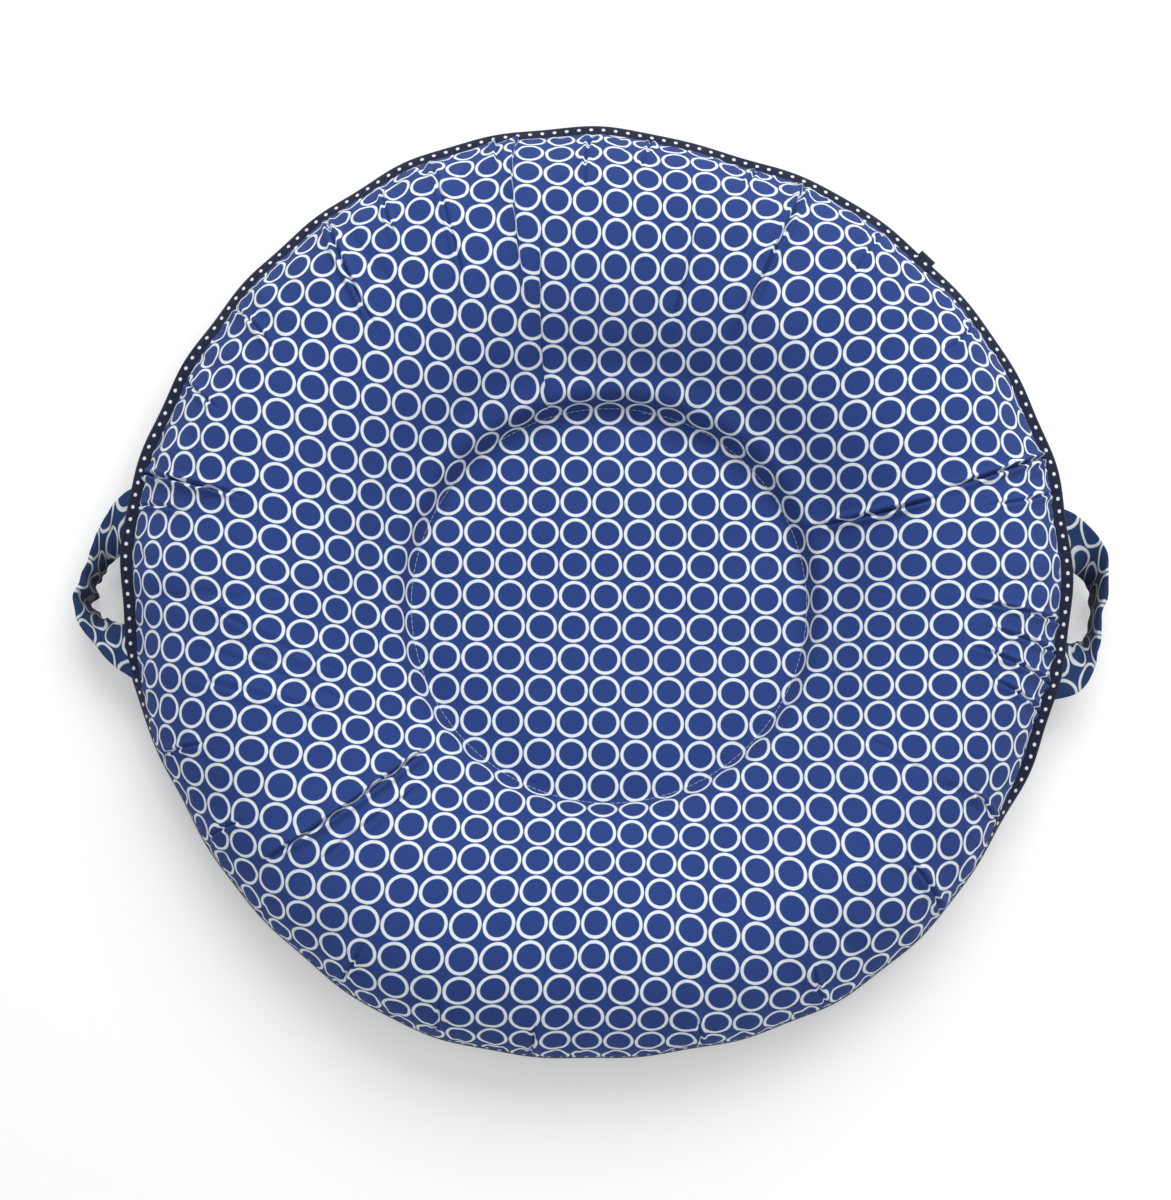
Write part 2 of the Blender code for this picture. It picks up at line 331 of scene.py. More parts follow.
def cloth_length(azimuth):
    """Cloth between the quilted circle and the seam, laid flat, in metres."""
    turn = np.radians(azimuth)
    length = 0.2446 - 0.0145 * np.cos(turn) + 0.0095 * np.sin(turn) + 0.0055 * np.cos(4 * turn)
    length = length + 0.0045 * far_side(azimuth) + 0.0030 * np.exp(-((swing(azimuth, 45.0) / 25.0) ** 2))
    return length + 0.0065 * np.exp(-((swing(azimuth, -38.0) / 28.0) ** 2))


columns = 480
rings = 50
column_azimuth = np.arange(columns) * 360.0 / columns
ring_amount = np.linspace(0.0, 1.0, rings + 1)
azimuth_grid, amount_grid = np.meshgrid(column_azimuth, ring_amount)
sewn_shape = cover_points(azimuth_grid, crown_profile(ring_amount)[:, None, :])

chance = np.random.default_rng(11)


def gathers(azimuth, counts, weakest):
    """Uneven gathers from -1 to 1, a sum of waves with these counts to the round."""
    total = np.zeros(len(azimuth))
    for count in counts:
        phase = chance.uniform(0.0, 2 * math.pi)
        total += chance.uniform(weakest, 1.0) * np.cos(np.radians(azimuth * count) + phase)
    return total / np.abs(total).max()


# The ease round the seam makes small puckers, closest at the edge.
pucker = gathers(column_azimuth, range(24, 92, 2), 0.3)
edge_share = smooth((ring_amount - 0.45) / 0.4) * smooth((1.0 - ring_amount) / 0.06)
sewn_shape[..., 2] += 0.0016 * edge_share[:, None] * pucker[None, :]


def stuffed(start):
    """The cover pushed out by its filling, held at the quilting and the seam.
    The cloth is cut flat and settles for a few steps, and no place moves far."""
    flat_length = cloth_length(azimuth_grid) * amount_grid
    take_up = 1.0 - 0.035 * amount_grid**2
    flat_radius = (circle_radius + flat_length) * take_up
    turn = np.radians(azimuth_grid)
    level = np.zeros(flat_radius.shape)
    flat = np.stack([flat_radius * np.cos(turn), flat_radius * np.sin(turn), level], -1)
    mesh = bpy.data.meshes.new("cut cloth")
    row = np.arange(rings)[:, None] * columns
    here = np.arange(columns)[None, :]
    there = (here + 1) % columns
    faces = np.stack([row + here, row + columns + here, row + columns + there, row + there], -1)
    mesh.from_pydata(start.reshape(-1, 3).tolist(), [], faces.reshape(-1, 4).tolist())
    cloth = bpy.data.objects.new("cut cloth", mesh)
    bpy.context.collection.objects.link(cloth)
    cloth.shape_key_add(name="sewn")
    cut = cloth.shape_key_add(name="cut")
    cut.data.foreach_set("co", flat.astype(np.float32).ravel())
    sewn = cloth.vertex_groups.new(name="sewn down")
    edge = list(range(columns)) + list(range(rings * columns, (rings + 1) * columns))
    sewn.add(edge, 1.0, "REPLACE")
    stuffing = cloth.modifiers.new("stuffing", "CLOTH")
    settings = stuffing.settings
    for name, value in (
        ("quality", 8),
        ("mass", 0.002),
        ("tension_stiffness", 30),
        ("compression_stiffness", 6),
        ("shear_stiffness", 2),
        ("bending_stiffness", 0.015),
        ("tension_damping", 1),
        ("compression_damping", 1),
        ("shear_damping", 1),
        ("bending_damping", 0.1),
        ("air_damping", 1),
    ):
        setattr(settings, name, value)
    settings.use_pressure = True
    settings.uniform_pressure_force = 55
    settings.vertex_group_mass = "sewn down"
    settings.rest_shape_key = cut
    settings.effector_weights.gravity = 0
    stuffing.collision_settings.use_collision = False
    stuffing.point_cache.frame_start = 1
    stuffing.point_cache.frame_end = 40
    scene = bpy.context.scene
    settle = 20
    for step in range(1, settle + 1):
        scene.frame_set(step)
    shown = cloth.evaluated_get(bpy.context.evaluated_depsgraph_get())
    places = np.empty(len(mesh.vertices) * 3, np.float32)
    shown.data.vertices.foreach_get("co", places)
    scene.frame_set(1)
    bpy.data.objects.remove(cloth)
    bpy.data.meshes.remove(mesh)
    places = places.reshape(start.shape).astype(float)
    moved = places - start
    far = np.linalg.norm(moved, axis=-1, keepdims=True)
    furthest = 0.014
    return start + moved * np.minimum(1.0, furthest / np.maximum(far, 1e-9))


sewn_shape = stuffed(sewn_shape)


def sampled(grid, azimuth, amount):
    """Smooth look-up in a grid of places by azimuth and by share of the way out."""
    column = (azimuth % 360.0) / 360.0 * columns
    ring = np.clip(amount, 0.0, 1.0) * rings
    c0 = np.floor(column).astype(int)
    r0 = np.minimum(np.floor(ring).astype(int), rings - 1)
    fc = (column - c0)[..., None]
    fr = (ring - r0)[..., None]

    def weights(f):
        return (
            -0.5 * f + f**2 - 0.5 * f**3,
            1 - 2.5 * f**2 + 1.5 * f**3,
            0.5 * f + 2 * f**2 - 1.5 * f**3,
            -0.5 * f**2 + 0.5 * f**3,
        )

    total = 0.0
    for i, wr in enumerate(weights(fr)):
        across = 0.0
        for j, wc in enumerate(weights(fc)):
            rows = np.clip(r0 + i - 1, 0, rings)
            across = across + wc * grid[rows, (c0 + j - 1) % columns]
        total = total + wr * across
    return total


# The cloth is eased in by hand at the back of the rim, in three tucks. For
# each: the azimuth at its outer and inner end, the share of the way out at
# both, and how far its lip stands up.
tucks = (
    (103.5, 103.0, 1.0, 0.80, 0.0030),
    (100.7, 101.5, 1.0, 0.34, 0.0036),
    (97.0, 101.6, 0.62, 0.03, 0.0034),
)

# Folds pressed in by sitting and handling. For each: azimuth and radius of
# both ends, then its width, height and cloth taken up, at about a millimetre
# to the unit.
folds = (
    (91.5, 0.360, 92.5, 0.300, 1.8, 2.8, 3.0),
    (127.0, 0.362, 132.0, 0.250, 2.1, 4.0, 3.0),
    (119.0, 0.358, 121.0, 0.300, 1.8, 2.4, 2.0),
    (112.0, 0.358, 115.0, 0.235, 2.0, 2.2, 1.5),
    (63.6, 0.362, 62.5, 0.205, 2.2, 4.8, 3.5),
    (76.0, 0.300, 75.0, 0.200, 2.2, 1.8, 1.5),
    (17.6, 0.372, 16.4, 0.268, 2.0, 4.8, 3.5),
    (15.4, 0.262, 17.6, 0.172, 2.0, 5.0, 3.5),
    (13.0, 0.366, 12.6, 0.300, 1.8, 2.0, 1.5),
    (166.6, 0.370, 166.8, 0.272, 2.1, 4.8, 3.0),
    (170.5, 0.364, 170.8, 0.310, 1.8, 2.0, 1.5),
    (184.0, 0.292, 203.0, 0.192, 2.6, 2.2, 1.5),
    (189.0, 0.300, 209.0, 0.196, 2.6, -1.6, 0.0),
    (194.0, 0.310, 211.0, 0.200, 2.6, 2.0, 1.5),
    (224.5, 0.182, 220.5, 0.330, 2.3, 5.8, 3.5),
    (230.0, 0.200, 226.0, 0.300, 2.6, 1.8, 1.0),
    (357.0, 0.368, 359.0, 0.275, 1.9, 2.6, 2.5),
    (353.0, 0.368, 355.0, 0.290, 1.9, 2.4, 2.0),
    (349.0, 0.368, 352.0, 0.280, 1.9, 2.6, 2.5),
    (345.0, 0.366, 348.0, 0.300, 1.9, 2.2, 2.0),
    (84.0, 0.362, 85.0, 0.325, 1.7, 2.2, 2.0),
    (70.0, 0.358, 71.0, 0.320, 1.7, 2.2, 2.0),
    (52.0, 0.360, 51.0, 0.300, 2.2, 2.0, 1.5),
    (36.0, 0.362, 35.0, 0.315, 2.0, 2.0, 1.5),
    (143.0, 0.360, 145.0, 0.300, 2.0, 2.2, 1.5),
    (154.0, 0.362, 156.0, 0.315, 2.0, 2.2, 1.5),
    (202.0, 0.356, 203.0, 0.315, 1.9, 2.2, 1.5),
    (214.0, 0.352, 215.0, 0.315, 1.9, 2.4, 2.0),
    (238.0, 0.356, 238.0, 0.318, 1.9, 2.4, 2.0),
    (251.0, 0.358, 250.0, 0.325, 1.9, 2.2, 2.0),
    (263.0, 0.358, 263.0, 0.328, 1.9, 2.2, 2.0),
    (284.0, 0.358, 284.0, 0.326, 1.9, 2.2, 2.0),
    (300.0, 0.362, 301.0, 0.325, 1.9, 2.2, 2.0),
    (318.0, 0.362, 320.0, 0.300, 2.2, 2.4, 2.0),
    (331.0, 0.360, 333.0, 0.315, 2.0, 2.2, 2.0),
)


def skewed(azimuth, amount):
    """Azimuth of a column of cloth that starts at the seam and leans at the back."""
    return azimuth + 7.5 * np.exp(-(((azimuth - 101.0) / 25.0) ** 2)) * (1.0 - amount)


# Columns of the fine cover: every half degree, closer at the tucks and folds.
seam_azimuths = set(np.round(np.arange(0.0, 360.0, 0.5), 2).tolist())
seam_azimuths |= set(np.round(np.arange(94.0, 106.0, 0.14), 2).tolist())
for a0, r0, a1, r1, *_ in folds:
    if abs(a1 - a0) < 5.5:
        shares = [(radius - 0.157) / 0.204 for radius in (r0, r1)]
        ends = [a - float(skewed(a, share) - a) for a, share in zip((a0, a1), shares)]
        if not 94.0 < ends[0] < 106.0:
            fine = np.arange(min(ends) - 0.75, max(ends) + 0.75, 0.21) % 360.0
            seam_azimuths |= set(np.round(fine, 2).tolist())
seam_azimuths = np.array(sorted(seam_azimuths))
keep = np.concatenate([[True], np.diff(seam_azimuths) > 0.05])
seam_azimuths = seam_azimuths[keep]
fine_rings = 104
fine_amount = np.linspace(0.0, 1.0, fine_rings + 1)
seam_grid, fine_grid = np.meshgrid(seam_azimuths, fine_amount)
skew = skewed(seam_grid, fine_grid) - seam_grid
cover = sampled(sewn_shape, seam_grid + skew, fine_grid)


def facing(grid):
    """Outward direction at each place of a closed round grid."""
    along = np.roll(grid, -1, axis=1) - np.roll(grid, 1, axis=1)
    out = np.gradient(grid, axis=0)
    normal = np.cross(out, along)
    return normal / np.maximum(np.linalg.norm(normal, axis=-1, keepdims=True), 1e-12)


outward = facing(cover)
raised = np.zeros(cover.shape[:2])
drift = np.zeros(cover.shape[:2])
tuck_share = np.zeros((3, fine_rings + 1))
tuck_share[0] = 0.22 * smooth((fine_amount - 0.78) / 0.12)
tuck_share[2] = smooth((0.62 - fine_amount) / 0.26)
tuck_share[1] = 1.0 - tuck_share[0] - tuck_share[2]
for (outer_end, inner_end, begin, end, stand), share in zip(tucks, tuck_share):
    place = np.clip((begin - fine_grid) / (begin - end), 0.0, 1.0)
    off = swing(seam_grid, outer_end + (inner_end - outer_end) * place)
    present = smooth((fine_grid - end) / 0.08) * smooth((begin + 0.10 - fine_grid) / 0.08)
    width = 1.3
    raised += stand * present * np.where(off >= 0.0, np.exp(-np.abs(off) / width), 0.0)
    raised -= 0.0010 * present * np.where(off < 0.0, np.exp(-np.abs(off) / 0.6), 0.0)
    step = np.tanh(off / 0.09) * (0.55 * np.exp(-np.abs(off) / 34.0) + 0.45 * (1.0 - np.abs(off) / 180.0))
    drift += share[:, None] * -1.5 * step

# Cloth laid flat: where each place of the cover was on the uncut print.
eased = 1.0 - (1.0 - fine_grid) ** 2
here = seam_grid + skew
twist = 1.6 + 1.8 * np.cos(np.radians(seam_grid - 100.0))
flat_turn = np.radians(here + twist * eased - drift * eased)
flat_radius = circle_radius + fine_grid * cloth_length(here)
flat = np.stack([flat_radius * np.cos(flat_turn), flat_radius * np.sin(flat_turn)], -1)

for a0, r0, a1, r1, width, stand, taken in folds:
    first = np.array([r0 * math.cos(math.radians(a0)), r0 * math.sin(math.radians(a0))])
    last = np.array([r1 * math.cos(math.radians(a1)), r1 * math.sin(math.radians(a1))])
    run = last - first
    length = np.linalg.norm(run)
    place = ((cover[..., :2] - first) @ run) / length**2
    bow = 0.0024 * np.sin(np.pi * np.clip(place, 0, 1)) * math.sin(a0 * 3.0)
    side = ((cover[..., 0] - first[0]) * run[1] - (cover[..., 1] - first[1]) * run[0]) / length + bow
    taper = smooth((place + 0.08) / 0.22) * smooth((1.04 - place) / 0.38)
    half = 0.0012 * width
    flank = np.exp(-(((side - 0.9 * half) / half) ** 2))
    flank += 0.7 * np.exp(-(((side + 1.3 * half) / half) ** 2))
    groove = np.exp(-((side / (0.5 * half)) ** 2))
    raised += 0.001 * stand * (flank - 1.1 * groove) * taper
    pull = 0.0004 * taken * np.tanh(side / 0.0006) * np.exp(-np.abs(side) / 0.018) * taper
    flat += pull[..., None] * np.array([run[1], -run[0]]) / length

# Fine gathers at the edge seam and soft unevenness of the loose filling.
at_seam = smooth((fine_grid - 0.86) / 0.11) * smooth((1.0 - fine_grid) / 0.02 + 0.25)
raised += 0.0013 * gathers(seam_azimuths, range(90, 230, 7), 0.2)[None, :] * at_seam
lumps = np.zeros(cover.shape[:2])
for _ in range(26):
    heading = chance.uniform(0.0, 2 * math.pi)
    pitch = chance.uniform(0.055, 0.15)
    phase = chance.uniform(0.0, 2 * math.pi)
    wave = cover[..., 0] * math.cos(heading) + cover[..., 1] * math.sin(heading)
    lumps += np.sin(2 * math.pi * wave / pitch + phase) * pitch
lumps /= np.abs(lumps).max()
raised += 0.0024 * lumps * smooth(fine_grid / 0.12) * smooth((1.0 - fine_grid) / 0.12)
wall = 0.0048 + 0.0040 * np.exp(-((swing(seam_grid, 92.0) / 42.0) ** 2))
raised += wall * np.exp(-(((fine_grid - 0.092) / 0.054) ** 2))
cover = cover + outward * (raised * smooth(fine_grid / 0.02))[..., None]

# The quilted centre: flat wadding that puffs a little inside its stitch line.
centre_rings = 34
centre_share = np.linspace(1.0, 0.0, centre_rings + 1)[1:-1] ** 0.9
circle_edge = cover[0]
middle = np.array([circle_shift.x, circle_shift.y, dish_height])
centre = middle + (circle_edge - middle)[None] * centre_share[:, None, None]
turn = np.radians(seam_azimuths + skew[0])[None, :]
dip = 1.0 - centre_share[:, None] ** 6
puff = 0.0042 * dip + 0.0009 * np.sin(9 * turn + 1.0) * centre_share[:, None] ** 3 * dip * 2.0
puff += 0.0005 * np.sin(47 * turn) * np.exp(-(((1 - centre_share[:, None]) / 0.05) ** 2))
centre[..., 2] = dish_height + puff
column_count = len(seam_azimuths)
hem = np.stack([cover[-1] * np.array([inward, inward, 1.0]) for inward in (0.985, 0.972)])
every_ring = np.concatenate([hem[::-1], cover[::-1], centre])
pole = middle + np.array([0.0, 0.0, 0.0042])
places = np.concatenate([every_ring.reshape(-1, 3), pole[None]])

centre_turn = np.radians(here[0])[None, :]
centre_heading = np.stack([np.cos(centre_turn), np.sin(centre_turn)], -1)
centre_flat = circle_radius * centre_share[:, None, None] * centre_heading
hem_flat = np.stack([flat[-1] * 1.03, flat[-1] * 1.015])
every_flat = np.concatenate([hem_flat, flat[::-1], centre_flat])


def print_steps(places):
    """Flat cloth in metres to steps of the print, with a ring at each whole step."""
    return (places + np.array([0.0023, -0.0059])) / np.array(ring_pitch)


def sewn_piece(name, places, faces, map_name, corner_map):
    """A smooth piece of these places and faces, with one map for its print or weave."""
    mesh = bpy.data.meshes.new(name)
    mesh.from_pydata(places.tolist(), [], faces)
    layer = mesh.uv_layers.new(name=map_name)
    layer.data.foreach_set("uv", np.array(corner_map, np.float32).ravel())
    mesh.polygons.foreach_set("use_smooth", [True] * len(mesh.polygons))
    mesh.update()
    piece = bpy.data.objects.new(name, mesh)
    bpy.context.collection.objects.link(piece)
    return piece


def round_mesh(name, places, row_count, column_count, place_map):
    """A mesh of rings, outermost first, closed at its pole, with its print map."""
    row = np.arange(row_count - 1)[:, None] * column_count
    around = np.arange(column_count)[None, :]
    after = (around + 1) % column_count
    below = row + column_count
    quads = np.stack([row + around, row + after, below + after, below + around], -1)
    last = (row_count - 1) * column_count
    tip = np.full(column_count, row_count * column_count)
    fan = np.stack([last + around[0], last + after[0], tip], -1)
    faces = quads.reshape(-1, 4).tolist() + fan.tolist()
    corner_map = place_map[np.concatenate([quads.ravel(), fan.ravel()])]
    return sewn_piece(name, places, faces, "print", corner_map)


row_count = len(every_ring)
top_map = print_steps(np.concatenate([every_flat.reshape(-1, 2), np.zeros((1, 2))]))
top = round_mesh("printed_top", places, row_count, column_count, top_map)
cotton = printed_cotton("printed cotton", 1.0, 0.0)
top.data.materials.append(cotton)
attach(top, "cushion")
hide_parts("top_cover", "ring_fill", "centre_wadding")

# ---------------------------------------------------------------- base cover
# Plain navy cotton, flat on the floor in a broad ring and drawn up a little
# in the middle by the quilting. It meets the top cover in the edge seam.

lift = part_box("circle_stitch_under")[1].z
floor_outer = seam_radius - 0.061
floor_inner = floor_outer - 0.048
quilted = (circle_radius, lift)
lands = (floor_inner, 0.0)
leaves = (floor_outer, 0.0)
bulge = (seam_radius - 0.002, seam_height * 0.4)
sewn_edge = (seam_radius, seam_height - 0.0006)
under_curve = np.concatenate(
    [
        bezier((0.0, lift), (0.06, lift), (0.10, lift), quilted, 40),
        bezier(quilted, (0.18, lift * 0.4), (floor_inner - 0.02, 0.0), lands, 60)[1:],
        bezier(lands, (floor_inner + 0.01, 0.0), (floor_outer - 0.01, 0.0), leaves, 20)[1:],
        bezier(leaves, (floor_outer + 0.036, 0.0), bulge, sewn_edge, 80)[1:],
    ]
)
base_rings = 72
base_amount = np.linspace(0.0, 1.0, base_rings + 1)[1:]
base_profile = by_length(under_curve, base_amount)
base_azimuth = np.arange(0.0, 360.0, 0.75)
base_grid, base_share = np.meshgrid(base_azimuth, base_amount)
under = cover_points(base_grid, base_profile[:, None, :])
near_seam = smooth((base_share - 0.80) / 0.1) * smooth((1.0 - base_share) / 0.03)
under_raised = 0.0026 * gathers(base_azimuth, range(30, 130, 5), 0.2)[None, :] * near_seam
near_quilting = np.exp(-(((base_share - 0.44) / 0.12) ** 2))
under_raised += 0.0022 * gathers(base_azimuth, range(7, 60, 3), 0.2)[None, :] * near_quilting
under_out = -facing(under)
under_out[..., 2] = np.minimum(under_out[..., 2], 0.2)
under = under + under_out * under_raised[..., None]
under[..., 2] = np.maximum(under[..., 2], 0.0)
under_hem = under[-1:] * np.array([0.975, 0.975, 1.0])
base_rows = np.concatenate([under, under_hem])
base_pole = np.array([circle_shift.x, circle_shift.y, lift])
base_places = np.concatenate([base_rows[::-1].reshape(-1, 3), base_pole[None]])
base = round_mesh("navy_base", base_places, len(base_rows), len(base_azimuth), base_places[:, :2])
base.data.flip_normals()


def plain_navy(name):
    """Plain navy cotton with a visible weave, a little paler where it rubs the floor."""
    cloth = Finish(name, 0.88, 0.2)
    body = cloth.node("ShaderNodeTexCoord", {}, {}, 3)
    across, along, height = cloth.split(body)
    warp = (across * 6200.0).maths("SINE")
    weft = (along * 6200.0).maths("SINE")
    slub = cloth.noise(body, 900.0, 3.0)
    fade = cloth.noise(body, 9.0, 4.0)
    worn = (1.0 - height.rising(0.0, 0.004)) * fade.rising(0.35, 0.75) * 0.35
    navy = cloth.blend(slub.rising(0.3, 0.7), (0.010, 0.017, 0.060, 1.0), (0.018, 0.030, 0.095, 1.0))
    cloth.feed("Base Color", cloth.blend(worn, navy, (0.060, 0.075, 0.150, 1.0)))
    cloth.feed("Roughness", 0.84 + (slub - 0.5) * 0.15)
    rumple = cloth.noise(body, 70.0, 4.0)
    relief = warp * weft * 0.00008 + slub * 0.00008 + rumple * 0.0006
    cloth.bump(relief, 1.0, 0.8)
    return cloth.material


base.data.materials.append(plain_navy("navy base cotton"))
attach(base, "cushion")
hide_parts("base_cover")

# ---------------------------------------------------------------- edge trim
# A folded grosgrain ribbon, navy with small white dots, sewn into the edge
# seam all round. It stands out at the sides and droops at the front and back.

trim_low, trim_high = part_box("edge_trim")
trim_reach = (trim_high.x - trim_low.x) / 2 - seam_radius


def trim_station(azimuth, across, above):
    """A place on the ribbon: across 0 at the seam, 1 at its folded edge."""
    droop = np.radians(16.0 + 44.0 * near_side(azimuth) + 13.0 * far_side(azimuth))
    wave = 0.0007 * np.sin(np.radians(azimuth * 17)) + 0.0006 * np.sin(np.radians(azimuth * 31 + 60))
    start = seam_radius + outline(azimuth) - 0.004
    run = (trim_reach + 0.004) * across
    out = start + run * np.cos(droop) + above * np.sin(droop)
    height = seam_height - run * np.sin(droop) + above * np.cos(droop) + wave * across
    turn = np.radians(azimuth)
    return np.stack([out * np.cos(turn), out * np.sin(turn), height], -1)


def ribbon(name, azimuths, closed, section, extra_reach, lift_by):
    """A ribbon swept along the edge, with a map in metres along and across."""
    rings_of = []
    for across, above in section:
        rings_of.append(trim_station(azimuths, across * (1 + extra_reach), above + lift_by))
    grid = np.stack(rings_of, 1)
    count, size = grid.shape[:2]
    faces, corner_map = [], []
    edge_radius = seam_radius + trim_reach
    metres = np.radians(np.append(azimuths, azimuths[0] + 360.0)) * edge_radius
    steps = np.linalg.norm(np.diff(grid, axis=1, append=grid[:, :1]), axis=-1)[0]
    run = np.concatenate([[0.0], np.cumsum(steps)])
    last = count if closed else count - 1
    for i in range(last):
        n = (i + 1) % count
        m0, m1 = metres[i], metres[i + 1]
        for j in range(size):
            k = (j + 1) % size
            faces.append([i * size + j, n * size + j, n * size + k, i * size + k])
            corner_map += [(m0, run[j]), (m1, run[j]), (m1, run[j + 1]), (m0, run[j + 1])]
    if not closed:
        faces.append(list(range(size)))
        corner_map += [(metres[0], run[j]) for j in range(size)]
        faces.append([(count - 1) * size + j for j in reversed(range(size))])
        corner_map += [(metres[count - 1], run[j]) for j in reversed(range(size))]
    return sewn_piece(name, grid.reshape(-1, 3), faces, "ribbon", corner_map)


def dotted_ribbon(name):
    """Navy grosgrain, ribbed across, with a row of small white woven dots."""
    cloth = Finish(name, 0.6, 0.15)
    lay = cloth.node("ShaderNodeUVMap", {"uv_map": "ribbon"}, {})
    along, over, _ = cloth.split(lay)
    dot_pitch = 0.0099
    steps = along / dot_pitch
    off = (steps - steps.maths("ROUND")) * dot_pitch
    side = over - 0.0098
    far = (off * off + side * side).maths("SQRT")
    dot = 1.0 - far.rising(0.0013, 0.0017)
    ribs = (along * 6283.0).maths("SINE")
    grain = cloth.noise(lay, 900.0, 2.0)
    navy = cloth.blend(ribs.rising(-1.0, 1.0), (0.009, 0.012, 0.032, 1.0), (0.020, 0.026, 0.062, 1.0))
    navy = cloth.blend(grain.rising(0.4, 0.9) * 0.4, navy, (0.035, 0.045, 0.095, 1.0))
    cloth.feed("Base Color", cloth.blend(dot, navy, (0.86, 0.88, 0.92, 1.0)))
    cloth.feed("Roughness", 0.52 + grain * 0.2)
    relief = ribs * 0.00012 + dot * 0.00015 + grain * 0.00005
    cloth.bump(relief, 1.0, 0.9)
    return cloth.material


thick = (trim_high.z - trim_low.z) / 2
ribbon_section = (
    (0.0, thick),
    (0.25, thick),
    (0.5, thick),
    (0.75, thick * 0.95),
    (0.93, thick * 0.8),
    (1.0, 0.0),
    (0.93, -thick * 0.8),
    (0.75, -thick * 0.95),
    (0.4, -thick),
    (0.0, -thick),
)
grosgrain = dotted_ribbon("dotted grosgrain")
trim = ribbon("ribbon_trim", np.arange(0.0, 360.0, 0.5), True, ribbon_section, 0.0, 0.0)
trim.data.materials.append(grosgrain)
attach(trim, "cushion")
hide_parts("edge_trim")

# ---------------------------------------------------------------- ribbon lap
# Where the round of ribbon closes, its cut end laps over the start by about
# 14 mm. The end stands a little proud and sticks out past the fold.

lap = ribbon("ribbon_lap", np.arange(45.0, 47.21, 0.1), False, ribbon_section, 0.28, 0.0012)
lap.data.materials.append(grosgrain)
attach(lap, "cushion")
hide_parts("trim_lap_end")

# ---------------------------------------------------------------- stitching
# Lockstitch in polyester thread, between two and a half and four millimetres
# long: one pale round through all layers on the quilted circle, seen above
# and below, and the navy sewing line of the edge seam under the trim.


def thread_look(name, colour, dark):
    thread = Finish(name, 0.55, 0.1)
    body = thread.node("ShaderNodeTexCoord", {}, {}, 3)
    twist = {"Vector": body, "Scale": 900.0, "Distortion": 2.0}
    ply = thread.node("ShaderNodeTexWave", {"bands_direction": "DIAGONAL"}, twist)
    thread.feed("Base Color", thread.blend(ply, dark, colour))
    thread.feed("Roughness", 0.5 + thread.noise(body, 500.0, 2.0) * 0.2)
    thread.bump(ply, 0.0001, 0.6)
    return thread.material


def stitch_tree(material):
    """A node tree that lays stitches end to end along a line."""
    tree = bpy.data.node_groups.new("stitches along a line", "GeometryNodeTree")
    face = tree.interface
    face.new_socket("Geometry", in_out="INPUT", socket_type="NodeSocketGeometry")
    face.new_socket("Geometry", in_out="OUTPUT", socket_type="NodeSocketGeometry")
    for name, value in (("Stitch", 0.0030), ("Gap", 0.0009), ("Thread", 0.0006), ("Stray", 0.05)):
        made = face.new_socket(name, in_out="INPUT", socket_type="NodeSocketFloat")
        made.default_value = value

    def node(kind, settings, inputs):
        return add_node(tree, kind, settings, inputs)

    start = node("NodeGroupInput", {}, {}).outputs
    step = node("ShaderNodeMath", {"operation": "ADD"}, {0: start["Stitch"], 1: start["Gap"]})
    along = {"Curve": start["Geometry"], "Length": step.outputs[0]}
    spread = node("GeometryNodeCurveToPoints", {"mode": "LENGTH"}, along)
    bead = node("GeometryNodeMeshUVSphere", {}, {"Segments": 7, "Rings": 6, "Radius": 0.5})
    size = node("ShaderNodeCombineXYZ", {}, {0: start["Thread"], 1: start["Thread"], 2: start["Stitch"]})
    shaped = node("GeometryNodeTransform", {}, {"Geometry": bead.outputs[0], "Scale": size.outputs[0]})
    seats = {"Points": spread.outputs["Points"], "Rotation": spread.outputs["Rotation"]}
    laid = node("GeometryNodeInstanceOnPoints", {}, {**seats, "Instance": shaped.outputs[0]})
    away = node("ShaderNodeMath", {"operation": "MULTIPLY"}, {0: start["Stray"], 1: -1.0})
    low = node("ShaderNodeCombineXYZ", {}, {0: away.outputs[0], 1: away.outputs[0], 2: 0.0})
    high = node("ShaderNodeCombineXYZ", {}, {0: start["Stray"], 1: start["Stray"], 2: 0.0})
    stray = node(
        "FunctionNodeRandomValue",
        {"data_type": "FLOAT_VECTOR"},
        {0: low.outputs[0], 1: high.outputs[0], "Seed": 7},
    )
    tilt = {"Instances": laid.outputs[0], "Rotation": stray.outputs[0]}
    turned = node("GeometryNodeRotateInstances", {}, tilt)
    real = node("GeometryNodeRealizeInstances", {}, {"Geometry": turned.outputs[0]})
    painted = node("GeometryNodeSetMaterial", {}, {"Geometry": real.outputs[0], "Material": material})
    soft = node("GeometryNodeSetShadeSmooth", {}, {"Geometry": painted.outputs[0]})
    node("NodeGroupOutput", {}, {0: soft.outputs[0]})
    return tree


def stitch_row(name, places, tree, **sizes):
    """Stitches along a line of places, as one plain mesh."""
    line = bpy.data.curves.new(name, "CURVE")
    line.dimensions = "3D"
    spline = line.splines.new("POLY")
    spline.points.add(len(places) - 1)
    spline.points.foreach_set("co", np.concatenate([places, np.ones((len(places), 1))], 1).ravel())
    guide = bpy.data.objects.new(name + " line", line)
    bpy.context.collection.objects.link(guide)
    sewing = guide.modifiers.new("sewing", "NODES")
    sewing.node_group = tree
    for item in tree.interface.items_tree:
        if item.in_out == "INPUT" and item.name in sizes:
            sewing[item.identifier] = sizes[item.name]
    view = bpy.context.evaluated_depsgraph_get()
    mesh = bpy.data.meshes.new_from_object(guide.evaluated_get(view), depsgraph=view)
    mesh.name = name
    piece = bpy.data.objects.new(name, mesh)
    bpy.context.collection.objects.link(piece)
    bpy.data.objects.remove(guide)
    return piece


